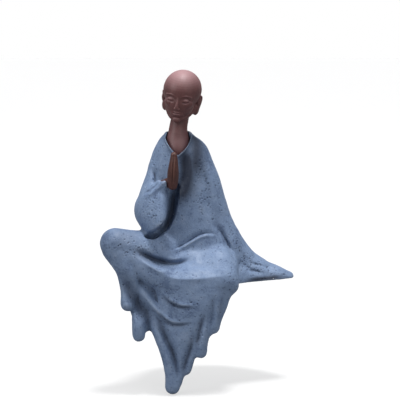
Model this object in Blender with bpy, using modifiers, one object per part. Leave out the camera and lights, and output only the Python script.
"""A seated monk figurine that sits on the edge of a shelf, its robe hanging over it.

It is three pieces of fired clay. The robe is a coarse body with sleeve, lap, train and
hanging hem. The head, with its long neck and the bit of chest that the collar leaves
bare, is set into the collar. The pressed hands are set into the sleeve.

Each piece starts as rolls and balls of clay laid over each other. A voxel remesh melts
them into one skin, strokes carve the folds and features, and the shelf, the neck and the
hands are then cut out of the robe.

Metres, +Z up. The origin is on the flat seat, which rests on the shelf. The shelf's edge
runs along X, and the figure faces -Y.
"""

import math
from collections import namedtuple

import bmesh
import bpy
import numpy as np
from mathutils import Matrix, Vector

# Driving sizes, in metres
FIGURE_HEIGHT = 0.1505  # from the crown to the lowest tip of the hem
SHELF_EDGE = 0.0172  # from the origin forward to the shelf's front edge
HEAD_HEIGHT = 0.0232  # crown to chin
NECK_RADIUS = 0.0045
HAND_LENGTH = 0.0149
HAND_THICKNESS = 0.0050  # both palms together, across
SEAM_GAP = 0.0004  # clay to clay, where a piece is set into the robe

MM = FIGURE_HEIGHT / 150.5  # one millimetre on the figure at its real height

# How the head is held: it bows, leans to the figure's left and turns to its right
HEAD_BOW = math.radians(14.0)
HEAD_LEAN = math.radians(8.0)
HEAD_TURN = math.radians(-10.0)

# Fineness of the skins, and triangles kept on each piece
ROBE_VOXEL = 0.8 * MM
HEAD_VOXEL = HEAD_HEIGHT / 90
HAND_VOXEL = 0.3 * MM
ROBE_SOFTNESS = 2.2 * MM
EDGE_SOFTNESS = 1.1 * MM
FACE_SOFTNESS = 0.5 * MM
ROBE_TRIANGLES = 5250
HEAD_TRIANGLES = 2350
HAND_TRIANGLES = 560

SIDEWAYS = (1.0, 0.0, 0.0)
FORWARD = (0.0, -1.0, 0.0)
UPWARD = (0.0, 0.0, 1.0)

# The folds are drawn as seen from in front and a little above
DRAWING_TILT = math.radians(10.0)
FRONT = Matrix.Rotation(-DRAWING_TILT, 4, "X")
BACK = Matrix.Rotation(math.pi, 4, "Z")
WORLD = Matrix.Identity(4)

# One carving stroke. kind is groove, ridge or lap, a fold whose upper side stands over
# its lower one. Width, depth and the drawing's (across, up) points are in millimetres.
Stroke = namedtuple("Stroke", "kind width depth points")

# Rolls of clay, as stations (x, y, z, half width, half depth) in millimetres
TORSO = [
    (6.0, 4.6, -5.0, 24.4, 20.8),
    (6.0, 4.6, 3.0, 24.4, 20.8),
    (4.8, 3.8, 12.0, 23.9, 20.0),
    (2.8, 3.0, 20.0, 22.3, 18.5),
    (1.2, 2.2, 28.0, 20.8, 16.5),
    (0.0, 1.4, 36.0, 19.8, 15.2),
    (-0.8, 0.8, 44.0, 18.4, 14.0),
    (-1.6, 0.4, 52.0, 16.7, 13.0),
    (-2.0, 0.2, 59.0, 14.4, 11.8),
    (-2.6, 0.2, 64.0, 12.2, 10.4),
    (-2.9, 0.2, 67.5, 9.7, 8.8),
    (-2.9, 0.2, 69.8, 7.2, 7.4),
]
UPPER_ARM = [
    (-9.4, 0.0, 60.0, 6.2, 6.2),
    (-12.4, -2.5, 50.0, 6.2, 6.4),
    (-15.0, -5.0, 42.0, 6.5, 6.8),
    (-17.0, -7.0, 35.0, 6.6, 7.0),
]
# The sleeve hangs from the forearm: its half width is upright, its half depth level
SLEEVE = [
    (-17.4, -6.0, 35.6, 9.0, 6.6),
    (-16.0, -11.0, 36.4, 11.0, 6.2),
    (-13.6, -16.0, 37.6, 12.8, 5.0),
    (-11.4, -19.4, 38.8, 13.2, 3.4),
]
SLEEVE_UPRIGHT = (0.26, -0.05, 0.96)
# The forearm inside it, which gives the sleeve its upper edge
FOREARM = [
    (-16.6, -7.0, 38.6, 5.0, 5.0),
    (-14.2, -11.8, 41.4, 3.8, 3.8),
    (-11.2, -16.0, 46.0, 2.7, 2.7),
    (-9.2, -18.6, 49.8, 1.8, 1.8),
]
# The deep hollow between the sleeve's mouth and the chest
SLEEVE_HOLLOW = [
    (-4.4, -15.0, 47.4, 2.4, 6.0),
    (-5.2, -15.5, 42.0, 2.7, 8.0),
    (-6.0, -15.5, 36.0, 2.4, 9.0),
    (-7.6, -16.0, 31.0, 2.2, 9.0),
    (-10.2, -17.0, 28.0, 1.8, 9.0),
    (-14.0, -18.0, 25.2, 1.6, 9.0),
    (-17.8, -18.4, 24.4, 1.2, 8.5),
]
LEGS = [
    # the figure's right thigh, out to the raised knee
    [
        (-2.0, -2.0, 10.5, 12.5, 12.5),
        (-13.0, -9.5, 13.5, 11.5, 11.5),
        (-24.0, -16.0, 17.6, 9.4, 9.4),
        (-32.4, -20.0, 21.4, 7.4, 7.4),
    ],
    # the left thigh, sloping to the shelf's edge
    [
        (12.0, -2.0, 11.0, 12.0, 12.0),
        (15.0, -12.0, 8.0, 10.5, 10.5),
        (17.0, -20.0, 4.0, 8.4, 8.4),
    ],
    # the front of the lap, from the knee along the edge
    [
        (-30.0, -20.0, 18.6, 6.4, 6.4),
        (-21.0, -20.6, 12.0, 6.2, 6.2),
        (-12.5, -22.0, 6.6, 6.2, 6.2),
        (-5.0, -23.0, 3.6, 6.2, 6.2),
        (9.0, -23.4, 2.4, 6.0, 6.0),
        (20.0, -20.6, 2.2, 5.8, 5.8),
    ],
]
# The cloth that slopes from the belly to the lap's front edge
LAP = [
    (5.0, 0.0, 15.0, 19.0, 10.5),
    (6.0, -9.0, 11.6, 18.5, 8.8),
    (5.5, -17.0, 7.6, 18.0, 6.6),
    (5.0, -22.6, 4.2, 17.4, 5.0),
]
# The cloak's edge that sweeps from the back out into the train
SWEEP = [
    (19.8, 3.4, 24.0, 4.4, 6.0),
    (23.8, 4.0, 16.0, 5.2, 8.0),
    (27.4, 4.4, 10.5, 5.4, 9.0),
    (30.7, 4.8, 6.9, 5.3, 9.6),
    (35.8, 5.2, 3.8, 5.2, 9.0),
]
# Cloth that bridges the thigh and the lap, and the back and the train
BRIDGES = [
    ((-7.0, -11.0, 8.6), (11.0, 13.0, 8.0)),
    ((24.6, 8.0, 4.6), (9.2, 12.0, 9.0)),
]
# The train lies on the shelf: its half width is level, its half depth upright
TRAIN = [
    (14.0, 7.0, 0.0, 20.0, 16.5),
    (24.0, 7.2, 0.0, 18.6, 13.8),
    (31.0, 7.0, 0.0, 15.0, 10.4),
    (38.0, 6.2, 0.0, 11.4, 7.5),
    (45.0, 5.0, 0.0, 7.2, 5.2),
    (49.6, 4.6, 0.0, 3.8, 3.0),
]
HEM_PANELS = [
    # the broad panel that hangs from the lap, narrowing to the tail
    [
        (4.0, -22.5, 4.0, 18.6, 6.8),
        (4.0, -23.8, -4.0, 17.0, 6.2),
        (2.5, -24.4, -13.0, 14.4, 5.4),
        (0.5, -24.8, -21.0, 11.0, 4.8),
        (-1.0, -25.0, -29.0, 7.2, 4.2),
        (-3.0, -25.0, -37.0, 4.0, 3.6),
    ],
    # the deeper cloth under the raised knee
    [
        (-19.0, -15.5, 12.0, 11.0, 7.0),
        (-19.5, -17.0, 1.0, 9.0, 5.6),
        (-20.2, -19.4, -9.0, 6.2, 4.6),
        (-19.0, -22.0, -17.0, 4.3, 3.8),
    ],
]
HEM_FOLDS = [
    # the fold that sweeps from the knee's inner side under the lap
    [
        (-29.0, -20.0, 7.5, 2.6, 2.6),
        (-22.5, -22.0, 1.2, 2.4, 2.6),
        (-13.4, -25.4, -8.8, 2.2, 2.6),
        (-6.8, -26.8, -14.2, 2.0, 2.4),
        (2.0, -27.2, -14.6, 1.6, 2.0),
    ],
    # under the raised knee, down to the first lobe
    [
        (-32.0, -20.5, 19.0, 7.0, 7.0),
        (-27.4, -22.0, 9.5, 5.2, 5.6),
        (-26.0, -24.2, 0.0, 4.1, 4.4),
        (-26.6, -25.5, -6.6, 3.5, 3.5),
    ],
    # the second lobe
    [
        (-20.0, -18.0, 2.0, 4.4, 4.0),
        (-21.0, -23.0, -10.0, 3.9, 4.2),
        (-21.6, -25.0, -17.0, 3.3, 3.8),
        (-21.5, -25.5, -21.6, 3.2, 3.2),
    ],
    # the long fold that ends in the tail
    [
        (-16.2, -20.0, -5.0, 3.8, 3.6),
        (-14.4, -22.6, -14.0, 3.6, 4.0),
        (-11.2, -25.0, -22.0, 3.3, 4.0),
        (-8.1, -26.2, -31.0, 3.1, 3.8),
        (-6.4, -26.6, -40.0, 3.1, 3.6),
        (-5.7, -26.6, -46.2, 3.7, 3.6),
    ],
    # the thin fold beside the tail
    [
        (0.5, -25.0, -25.0, 3.2, 3.8),
        (-1.2, -25.8, -34.0, 2.6, 3.2),
        (-2.4, -26.0, -41.0, 2.1, 2.6),
        (-2.9, -26.0, -44.6, 1.8, 2.2),
    ],
    # the three lobes that step up the figure's left side
    [
        (4.8, -24.8, -20.0, 3.8, 4.0),
        (2.6, -25.2, -30.0, 3.0, 3.4),
        (0.8, -25.2, -38.3, 2.5, 2.6),
    ],
    [
        (11.0, -24.4, -8.0, 5.0, 4.6),
        (8.9, -25.4, -18.0, 3.8, 4.4),
        (7.9, -25.8, -25.0, 3.2, 3.8),
        (7.7, -25.8, -29.7, 2.9, 3.1),
    ],
    [
        (18.6, -21.0, 2.0, 5.8, 5.6),
        (16.2, -23.0, -6.0, 4.1, 4.6),
        (14.4, -24.4, -13.0, 3.4, 3.9),
        (13.7, -24.8, -18.1, 2.9, 3.0),
    ],
]
# Folds carved on the front, in the drawing's (across, up) millimetres
FRONT_STROKES = [
    # under the belly, over the left thigh
    Stroke(
        "lap", 1.3, -0.8,
        [(-9.0, 15.0), (-4.0, 15.4), (1.0, 17.8), (6.0, 20.6), (10.5, 22.0), (16.0, 21.0)],
    ),
    # the deep sag between the thighs, and the cloth's edge under it
    Stroke(
        "groove", 1.6, 4.2,
        [(-24.0, 15.4), (-17.5, 11.4), (-12.0, 8.9), (-6.5, 8.0), (-1.0, 8.5), (6.0, 10.8)],
    ),
    Stroke("ridge", 1.3, 0.8, [(-22.5, 12.0), (-17.0, 7.8), (-11.5, 5.3), (-6.0, 4.6), (0.0, 5.4)]),
    # the front edge of the thigh and the lap
    Stroke(
        "ridge", 1.5, 0.5,
        [(-28.0, 20.0), (-20.0, 11.0), (-11.5, 4.2), (-4.0, 1.4), (8.0, 1.2), (24.0, 3.0)],
    ),
    # where the lap's cloth meets the train
    Stroke("groove", 1.3, 1.8, [(13.0, 28.0), (17.3, 22.8), (20.4, 16.8), (23.5, 10.6), (25.6, 5.6)]),
    # the two sagging folds on the hanging panel; the lower sweeps in from under the knee
    Stroke("lap", 1.3, 0.8, [(-13.0, -3.0), (-8.6, -8.4), (-3.0, -11.4), (2.0, -12.2), (8.0, -11.8)]),
    Stroke("lap", 1.5, 0.7, [(-22.4, -4.0), (-14.0, -14.0), (-9.8, -18.0), (-4.4, -20.4), (6.0, -20.0)]),
    # the dark valleys under the knee and beside the tail
    Stroke(
        "groove", 2.9, 3.8,
        [(-30.5, 6.5), (-26.6, -2.0), (-23.6, -8.5), (-19.0, -15.0), (-14.0, -21.0)],
    ),
    Stroke(
        "groove", 1.6, 2.0,
        [(-15.0, -15.0), (-11.4, -20.8), (-8.4, -28.0), (-5.6, -34.0), (-4.0, -41.5), (-3.2, -51.0)],
    ),
    Stroke("groove", 1.4, 1.2, [(-17.2, -17.0), (-17.2, -23.0), (-18.6, -28.0)]),
    # the valleys that part the stepped lobes
    Stroke("groove", 1.4, 1.5, [(3.8, -26.0), (2.2, -33.0), (0.0, -39.0), (-1.6, -46.0)]),
    Stroke("groove", 1.4, 1.3, [(9.0, -16.0), (6.8, -24.0), (5.2, -32.0)]),
    Stroke("groove", 1.4, 1.1, [(14.4, -6.0), (12.6, -16.0), (11.4, -25.0)]),
    # the front of the cloak, from the hands' side down to the lap
    Stroke("groove", 1.7, 1.1, [(7.4, 58.0), (9.2, 48.0), (10.4, 38.0), (11.4, 26.0)]),
    Stroke("ridge", 2.2, 0.7, [(11.4, 56.0), (13.4, 46.0), (14.6, 36.0), (15.6, 27.0)]),
    # the hollow beside the hands
    Stroke("groove", 1.9, 2.3, [(-1.6, 61.5), (-0.4, 55.0), (-0.6, 48.0), (-2.4, 41.0)]),
    # ripples that run out along the train
    Stroke("groove", 1.3, 0.6, [(17.0, 34.0), (21.0, 24.0), (26.0, 13.0), (34.0, 6.6), (44.0, 3.4)]),
    Stroke("groove", 1.1, 0.5, [(24.0, 12.0), (29.0, 6.4), (36.0, 3.0), (46.0, 1.0)]),
    # the crook of the arm
    Stroke("groove", 1.2, 1.0, [(-14.8, 54.0), (-14.2, 48.0), (-14.0, 43.0)]),
    Stroke("lap", 1.1, -0.9, [(-20.8, 38.7), (-14.4, 42.3), (-8.4, 48.3)]),
]
BACK_STROKES = [
    Stroke("groove", 3.0, 1.5, [(8.0, 60.0), (10.0, 44.0), (14.0, 26.0), (18.0, 4.0)]),
    Stroke("groove", 3.0, 1.5, [(1.0, 62.0), (0.0, 44.0), (-2.0, 26.0), (-3.0, 2.0)]),
    Stroke("groove", 3.0, 1.5, [(-5.0, 60.0), (-9.0, 44.0), (-15.0, 26.0), (-20.0, 6.0)]),
    Stroke("groove", 2.2, 1.0, [(-10.0, 52.0), (-17.0, 36.0), (-25.0, 18.0), (-42.0, 4.0)]),
]

# The neck and the chest that the collar holds. Widths are shares of the neck's radius.
NECK = [
    (-1.4, -0.8, 84.0, 0.96, 0.98),
    (-2.2, -1.2, 78.5, 0.93, 0.98),
    (-3.0, -1.7, 74.0, 0.95, 1.02),
    (-3.2, -2.0, 71.0, 1.06, 1.12),
    (-3.3, -2.4, 67.6, 1.24, 1.26),
    (-3.2, -3.4, 62.6, 1.28, 1.44),
    (-3.2, -3.2, 60.0, 1.1, 1.1),
]
# The collar's rolled edge, from its point round the neck and back, and what it lies on
COLLAR = [
    (-3.1, -11.3, 61.6),
    (-5.6, -10.6, 63.8),
    (-7.8, -9.2, 66.6),
    (-9.0, -6.0, 69.0),
    (-8.6, -1.8, 70.0),
    (-7.0, 1.9, 70.6),
    (-5.0, 3.9, 71.0),
    (-3.1, 4.5, 71.2),
    (-1.2, 3.9, 71.2),
    (0.9, 1.9, 71.2),
    (2.6, -1.8, 71.0),
    (2.9, -6.2, 69.8),
    (1.6, -9.2, 66.6),
    (-0.6, -10.6, 63.8),
    (-3.1, -11.3, 61.6),
]
COLLAR_THICKNESS = 1.9
COLLAR_BASE = [
    (-2.8, -0.6, 60.0, 9.6, 9.4),
    (-3.0, -0.8, 65.6, 8.2, 8.6),
    (-3.1, -0.8, 69.4, 7.2, 7.0),
    (-3.1, -0.6, 71.0, 6.4, 6.0),
]

# The head's forms, in shares of its height, from a point midway between its crown and
# chin. The face looks towards -Y. One side is given and the other mirrored.
HEAD_PLACE = (-1.5, -3.0, 89.2)
SKULL = [
    ((0.0, 0.06, 0.10), (0.39, 0.43, 0.40)),
    ((0.0, -0.11, -0.11), (0.30, 0.28, 0.34)),
    ((0.0, -0.22, -0.26), (0.17, 0.165, 0.17)),
    ((0.0, -0.30, -0.425), (0.085, 0.075, 0.07)),
    ((0.0, -0.362, -0.292), (0.08, 0.034, 0.026)),
    ((0.0, -0.368, -0.25), (0.07, 0.034, 0.02)),
]
SIDE_OF_HEAD = [
    ((0.15, -0.20, -0.08), (0.14, 0.155, 0.13)),
    ((0.14, -0.308, 0.0), (0.08, 0.05, 0.045)),
    ((0.355, 0.05, -0.10), (0.055, 0.09, 0.12)),
    ((0.312, 0.02, -0.25), (0.075, 0.085, 0.14)),
    ((0.23, 0.0, -0.23), (0.12, 0.12, 0.15)),
    ((0.03, -0.41, -0.155), (0.03, 0.032, 0.024)),
]
NOSE = [
    (0.0, -0.345, 0.10, 0.03, 0.02),
    (0.0, -0.362, 0.02, 0.03, 0.032),
    (0.0, -0.398, -0.08, 0.036, 0.036),
    (0.0, -0.42, -0.14, 0.042, 0.032),
]
BROW = [
    (0.035, -0.352, 0.075, 0.02, 0.02),
    (0.14, -0.326, 0.11, 0.024, 0.02),
    (0.25, -0.262, 0.08, 0.02, 0.018),
]
JAW = [
    (0.27, 0.04, -0.14, 0.07, 0.07),
    (0.235, -0.05, -0.28, 0.07, 0.07),
    (0.13, -0.20, -0.38, 0.075, 0.07),
    (0.0, -0.28, -0.42, 0.08, 0.075),
]
EAR_RIM = [
    (0.35, -0.03, -0.06, 0.018, 0.018),
    (0.375, 0.02, 0.015, 0.018, 0.018),
    (0.40, 0.09, 0.0, 0.018, 0.018),
    (0.40, 0.12, -0.09, 0.018, 0.018),
    (0.38, 0.09, -0.20, 0.018, 0.018),
    (0.355, 0.045, -0.30, 0.02, 0.02),
]
# Carved on the face, in the same shares
FACE_STROKES = [
    Stroke("groove", 0.018, 0.016, [(0.07, -0.012), (0.145, -0.034), (0.225, -0.008)]),
    Stroke("groove", 0.018, 0.016, [(-0.225, -0.008), (-0.145, -0.034), (-0.07, -0.012)]),
    Stroke("groove", 0.022, 0.014, [(0.07, 0.045), (0.145, 0.062), (0.22, 0.04)]),
    Stroke("groove", 0.022, 0.014, [(-0.22, 0.04), (-0.145, 0.062), (-0.07, 0.045)]),
    Stroke("groove", 0.018, 0.016, [(-0.095, -0.262), (0.0, -0.268), (0.095, -0.262)]),
    Stroke("groove", 0.03, 0.012, [(-0.07, -0.335), (0.0, -0.338), (0.07, -0.335)]),
]

# The pressed hands as one blade, and the wrist that goes back into the sleeve. Heights are
# shares of the hands' length above their foot, half widths shares of their thickness.
HANDS_FOOT = (-5.5, -18.8, 49.6)
HANDS = [
    (-0.1, 0.6, -0.06, 0.46, 2.4),
    (0.0, 0.2, 0.10, 0.53, 3.0),
    (0.2, -0.8, 0.38, 0.52, 3.4),
    (0.5, -1.4, 0.70, 0.40, 2.8),
    (0.6, -1.8, 0.92, 0.30, 1.7),
]
WRIST = [
    (0.0, 1.2, 0.08, 0.44, 2.2),
    (-2.6, 3.6, -0.02, 0.44, 2.2),
    (-5.6, 6.0, -0.12, 0.42, 2.1),
]


def clear_scene():
    for obj in list(bpy.data.objects):
        bpy.data.objects.remove(obj)


def new_collection(name):
    collection = bpy.data.collections.new(name)
    bpy.context.scene.collection.children.link(collection)
    return collection


def smooth_path(points, per_span):
    """Points on a Catmull-Rom curve through the given rows."""
    rows = np.array(points, float)
    padded = np.vstack([2 * rows[0] - rows[1], rows, 2 * rows[-1] - rows[-2]])
    t = np.linspace(0, 1, per_span, endpoint=False)[:, None]
    spans = []
    for i in range(1, len(padded) - 2):
        a, b, c, d = padded[i - 1 : i + 3]
        spans.append(
            0.5 * (2 * b + (c - a) * t + (2 * a - 5 * b + 4 * c - d) * t**2 + (3 * b - a - 3 * c + d) * t**3)
        )
    return np.vstack([*spans, rows[-1:]])


def add_roll(bm, stations, side=SIDEWAYS, scale=MM, grow=0.0, sides=28, cap=1.0, place=WORLD):
    """Adds a closed roll with round ends that follows the stations. side is the way that
    its half width lies, grow makes it that much larger all over, and cap is how round its
    ends are: 1 is a half ball."""
    rows = smooth_path(stations, 6)
    centres = rows[:, :3] * scale
    widths = rows[:, 3] * scale + grow
    depths = rows[:, 4] * scale + grow
    tangents = np.gradient(centres, axis=0)
    tangents /= np.linalg.norm(tangents, axis=1)[:, None]
    across = np.array(side) - tangents * (tangents @ np.array(side))[:, None]
    across /= np.linalg.norm(across, axis=1)[:, None]
    outward = np.cross(tangents, across)
    turns = np.linspace(0, 2 * math.pi, sides, endpoint=False)
    cap_turns = np.radians([72.0, 54.0, 36.0, 18.0])

    def ring(i, shrink, shift):
        centre = centres[i] + tangents[i] * shift
        wide = across[i] * widths[i] * shrink
        deep = outward[i] * depths[i] * shrink
        points = [centre + wide * math.cos(t) + deep * math.sin(t) for t in turns]
        return [bm.verts.new(place @ Vector(point)) for point in points]

    first, last = 0, len(centres) - 1
    reach_first = cap * min(widths[first], depths[first])
    reach_last = cap * min(widths[last], depths[last])
    rings = [ring(first, math.cos(a), -reach_first * math.sin(a)) for a in cap_turns]
    rings += [ring(i, 1.0, 0.0) for i in range(len(centres))]
    rings += [ring(last, math.cos(a), reach_last * math.sin(a)) for a in reversed(cap_turns)]
    for lower, upper in zip(rings, rings[1:]):
        for k in range(sides):
            bm.faces.new((lower[k], lower[(k + 1) % sides], upper[(k + 1) % sides], upper[k]))
    bottom = bm.verts.new(place @ Vector(centres[first] - tangents[first] * reach_first))
    top = bm.verts.new(place @ Vector(centres[last] + tangents[last] * reach_last))
    for k in range(sides):
        bm.faces.new((bottom, rings[0][(k + 1) % sides], rings[0][k]))
        bm.faces.new((top, rings[-1][k], rings[-1][(k + 1) % sides]))


def add_ball(bm, centre, radii, scale=MM, place=WORLD):
    """Adds an ellipsoid, in the frame that place gives."""
    size = Matrix.Diagonal((*(Vector(radii) * scale), 1.0))
    matrix = place @ Matrix.Translation(Vector(centre) * scale) @ size
    bmesh.ops.create_uvsphere(bm, u_segments=28, v_segments=18, radius=1.0, matrix=matrix)


def mirrored(points):
    """The same points, or forms, on the other side of the face."""
    return [(-point[0], *point[1:]) for point in points]


def object_from(bm, name, collection):
    """An object that holds what the bmesh holds, with its faces pointing out."""
    bmesh.ops.recalc_face_normals(bm, faces=bm.faces)
    mesh = bpy.data.meshes.new(name)
    bm.to_mesh(mesh)
    bm.free()
    obj = bpy.data.objects.new(name, mesh)
    collection.objects.link(obj)
    return obj


def settle(obj):
    """Applies the object's modifiers to its mesh."""
    graph = bpy.context.evaluated_depsgraph_get()
    finished = bpy.data.meshes.new_from_object(obj.evaluated_get(graph))
    obj.modifiers.clear()
    old = obj.data
    obj.data = finished
    bpy.data.meshes.remove(old)


def melt(obj, voxel, softness):
    """Melts overlapping closed forms into one skin, and softens it by about that much."""
    remesh = obj.modifiers.new("melt", "REMESH")
    remesh.mode = "VOXEL"
    remesh.voxel_size = voxel
    soften(obj, round((softness / voxel) ** 2))


def soften(obj, rounds):
    smooth = obj.modifiers.new("soften", "SMOOTH")
    smooth.factor = 0.5
    smooth.iterations = rounds
    settle(obj)


def read_vertices(mesh):
    """Places and normals of the mesh's vertices, as rows."""
    count = len(mesh.vertices)
    places = np.empty(count * 3)
    normals = np.empty(count * 3)
    mesh.vertices.foreach_get("co", places)
    mesh.vertex_normals.foreach_get("vector", normals)
    return places.reshape(-1, 3), normals.reshape(-1, 3)


def carve(obj, strokes, drawing, scale=MM):
    """Pushes the skin to or from the drawing's viewer along each stroke, where it faces
    them."""
    places, normals = read_vertices(obj.data)
    inward = np.array(drawing.inverted())
    local = places @ inward[:3, :3].T + inward[:3, 3]
    facing = -(normals @ inward[:3, :3].T)[:, 1]
    shown = np.clip(facing / 0.35, 0, 1)
    flat = local[:, [0, 2]]
    push = np.zeros(len(places))
    for stroke in strokes:
        line = smooth_path(stroke.points, 5) * scale
        width = stroke.width * scale
        depth = stroke.depth * scale
        near = np.all((flat > line.min(0) - 3 * width) & (flat < line.max(0) + 3 * width), axis=1)
        here = np.nonzero(near & (shown > 0))[0]
        offset, along, gap = beside_line(flat[here], line)
        taper = 0.5 - 0.5 * np.cos(np.clip(np.minimum(along, 1 - along) / 0.35, 0, 1) * math.pi)
        bell = np.exp(-((gap / width) ** 2)) * taper * shown[here]
        if stroke.kind == "groove":
            push[here] -= depth * bell
        elif stroke.kind == "ridge":
            push[here] += depth * bell
        else:
            push[here] += depth * bell * np.clip(1.6 * offset / width, -1.3, 1.3)
    places += push[:, None] * -np.array(drawing.col[1])[:3]
    obj.data.vertices.foreach_set("co", places.ravel())
    obj.data.update()


def beside_line(points, line):
    """For each point: how far it is to the left of the line, its share along it, and its
    distance from it."""
    starts, steps = line[:-1], np.diff(line, axis=0)
    lengths = np.linalg.norm(steps, axis=1)
    away = points[:, None] - starts[None]
    share = np.clip((away * steps).sum(-1) / (lengths**2), 0, 1)
    apart = away - share[..., None] * steps
    gaps = np.linalg.norm(apart, axis=-1)
    best = gaps.argmin(1)
    rows = np.arange(len(points))
    step, off = steps[best], apart[rows, best]
    left = (step[:, 0] * off[:, 1] - step[:, 1] * off[:, 0]) / lengths[best]
    travelled = np.concatenate([[0], np.cumsum(lengths)])
    along = (travelled[best] + share[rows, best] * lengths[best]) / travelled[-1]
    return left, along, gaps[rows, best]


def thin_out(obj, triangles):
    """Leaves about that many triangles, kept where the form turns most."""
    mesh = obj.data
    mesh.calc_loop_triangles()
    fewer = obj.modifiers.new("fewer faces", "DECIMATE")
    fewer.ratio = min(1.0, triangles / len(mesh.loop_triangles))
    fewer.use_collapse_triangulate = True
    settle(obj)


def cut(obj, cutter):
    """Leaves a Boolean cut by the cutter on the object."""
    boolean = obj.modifiers.new("cut by " + cutter.name, "BOOLEAN")
    boolean.operation = "DIFFERENCE"
    boolean.solver = "EXACT"
    boolean.object = cutter


def as_cutter(obj):
    obj.hide_render = True
    obj.display_type = "WIRE"
    return obj


def clay(name, colour, roughness):
    material = bpy.data.materials.new(name)
    material.use_nodes = True
    shader = material.node_tree.nodes["Principled BSDF"]
    shader.inputs["Base Color"].default_value = (*colour, 1.0)
    shader.inputs["Roughness"].default_value = roughness
    shader.inputs["Metallic"].default_value = 0.0
    return material


def finish(obj, material):
    obj.data.materials.clear()
    obj.data.materials.append(material)
    obj.data.shade_smooth()
    obj.data.set_sharp_from_angle(angle=math.radians(40))


def neck_stations():
    radius = NECK_RADIUS / MM
    return [(x, y, z, wide * radius, deep * radius) for x, y, z, wide, deep in NECK]


def hand_rows(rows):
    """Stations of the hands or the wrist, at the sizes set above."""
    across, along, foot = HANDS_FOOT
    long, thick = HAND_LENGTH / MM, HAND_THICKNESS / MM
    return [(across + x, along + y, foot + up * long, wide * thick, deep) for x, y, up, wide, deep in rows]


def hands_form(name, collection, grow=0.0):
    bm = bmesh.new()
    add_roll(bm, hand_rows(HANDS), grow=grow)
    add_roll(bm, hand_rows(WRIST), grow=grow)
    form = object_from(bm, name, collection)
    melt(form, HAND_VOXEL, FACE_SOFTNESS)
    thin_out(form, HAND_TRIANGLES)
    return form


def make_robe(parts, cutters):
    bm = bmesh.new()
    add_roll(bm, TORSO, sides=48, cap=0.25)
    add_roll(bm, UPPER_ARM)
    add_roll(bm, SLEEVE, side=SLEEVE_UPRIGHT)
    add_roll(bm, FOREARM)
    for leg in LEGS:
        add_roll(bm, leg)
    add_roll(bm, LAP, sides=40)
    for centre, radii in BRIDGES:
        add_ball(bm, centre, radii)
    add_roll(bm, TRAIN, side=FORWARD, sides=40)
    add_roll(bm, SWEEP)
    for panel in HEM_PANELS:
        add_roll(bm, panel, sides=40)
    for fold in HEM_FOLDS:
        add_roll(bm, fold)
    robe = object_from(bm, "robe", parts)
    melt(robe, ROBE_VOXEL, ROBE_SOFTNESS)
    hollow_sleeve(robe)
    add_collar(robe)
    melt(robe, ROBE_VOXEL, EDGE_SOFTNESS)
    carve(robe, FRONT_STROKES, FRONT)
    carve(robe, BACK_STROKES, BACK)
    soften(robe, rounds=2)
    thin_out(robe, ROBE_TRIANGLES)
    cut(robe, shelf_cutter(cutters))
    cut(robe, neck_cutter(cutters))
    cut(robe, collar_cutter(cutters))
    cut(robe, hand_cutter(cutters))
    finish(robe, clay("blue_grey_clay", (0.16, 0.22, 0.34), 0.75))
    return robe


def hollow_sleeve(robe):
    bm = bmesh.new()
    add_roll(bm, SLEEVE_HOLLOW)
    hollow = object_from(bm, "sleeve_hollow", robe.users_collection[0])
    cut(robe, hollow)
    settle(robe)
    bpy.data.objects.remove(hollow)


def add_collar(robe):
    rim = COLLAR_THICKNESS / 2
    bm = bmesh.new()
    bm.from_mesh(robe.data)
    add_roll(bm, COLLAR_BASE, cap=0.2)
    add_roll(bm, [(*point, rim, rim) for point in COLLAR], side=UPWARD, sides=16)
    bm.to_mesh(robe.data)
    bm.free()


def shelf_cutter(cutters):
    """The edge of the shelf: its top is the seat, its front the back of the hem."""
    far = FIGURE_HEIGHT
    bm = bmesh.new()
    size = Matrix.Diagonal((2 * far, far, far, 1.0))
    place = Matrix.Translation((0.0, far / 2 - SHELF_EDGE, -far / 2))
    bmesh.ops.create_cube(bm, size=1.0, matrix=place @ size)
    return as_cutter(object_from(bm, "shelf_cutter", cutters))


def neck_cutter(cutters):
    bm = bmesh.new()
    add_roll(bm, neck_stations(), grow=SEAM_GAP)
    return as_cutter(object_from(bm, "neck_cutter", cutters))


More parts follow.
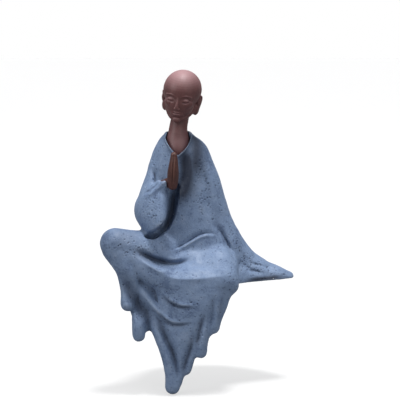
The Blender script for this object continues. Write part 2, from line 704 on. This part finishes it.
def collar_cutter(cutters):
    """Opens the collar in front of the chest, inside its rolled edge."""
    near, deep, above = -FIGURE_HEIGHT / 5, FIGURE_HEIGHT / 11, FIGURE_HEIGHT / 19
    shown = [FRONT.inverted() @ (Vector(point) * MM) for point in smooth_path(COLLAR, 4)]
    half = len(shown) // 2
    left = [point for point in shown[1:half] if point.y < near + deep]
    right = [point for point in shown[half:-1] if point.y < near + deep]
    rise = above * Vector(UPWARD)
    outline = [shown[0], *left, left[-1] + rise, right[0] + rise, *right]
    bm = bmesh.new()
    rim = [bm.verts.new(FRONT @ Vector((point.x, near, point.z))) for point in outline]
    plate = bmesh.ops.extrude_face_region(bm, geom=[bm.faces.new(rim)])
    moved = [item for item in plate["geom"] if isinstance(item, bmesh.types.BMVert)]
    bmesh.ops.translate(bm, verts=moved, vec=FRONT @ Vector((0.0, deep, 0.0)))
    return as_cutter(object_from(bm, "collar_cutter", cutters))


def hand_cutter(cutters):
    return as_cutter(hands_form("hand_cutter", cutters, grow=SEAM_GAP))


def head_frame():
    """Where the head is, with -Y the way that the face looks."""
    turn = Matrix.Rotation(HEAD_TURN, 4, "Z")
    lean = Matrix.Rotation(HEAD_LEAN, 4, "Y")
    bow = Matrix.Rotation(HEAD_BOW, 4, "X")
    return Matrix.Translation(Vector(HEAD_PLACE) * MM) @ lean @ turn @ bow


def make_head(parts):
    place = head_frame()
    tall = HEAD_HEIGHT
    bm = bmesh.new()
    for centre, radii in SKULL:
        add_ball(bm, centre, radii, tall, place)
    for centre, radii in SIDE_OF_HEAD:
        add_ball(bm, centre, radii, tall, place)
        add_ball(bm, (-centre[0], *centre[1:]), radii, tall, place)
    add_roll(bm, NOSE, scale=tall, place=place)
    for form in (BROW, JAW, EAR_RIM):
        add_roll(bm, form, FORWARD, tall, place=place)
        add_roll(bm, mirrored(form), FORWARD, tall, place=place)
    add_roll(bm, neck_stations())
    head = object_from(bm, "head", parts)
    melt(head, HEAD_VOXEL, FACE_SOFTNESS)
    carve(head, FACE_STROKES, place, tall)
    thin_out(head, HEAD_TRIANGLES)
    finish(head, clay("brown_clay", (0.17, 0.08, 0.07), 0.5))
    return head


def make_hands(parts):
    hands = hands_form("hands", parts)
    finish(hands, clay("red_brown_clay", (0.20, 0.075, 0.045), 0.5))
    return hands


def main():
    clear_scene()
    parts = new_collection("shelf_sitting_monk")
    cutters = new_collection("cutters")
    make_robe(parts, cutters)
    make_head(parts)
    make_hands(parts)


main()
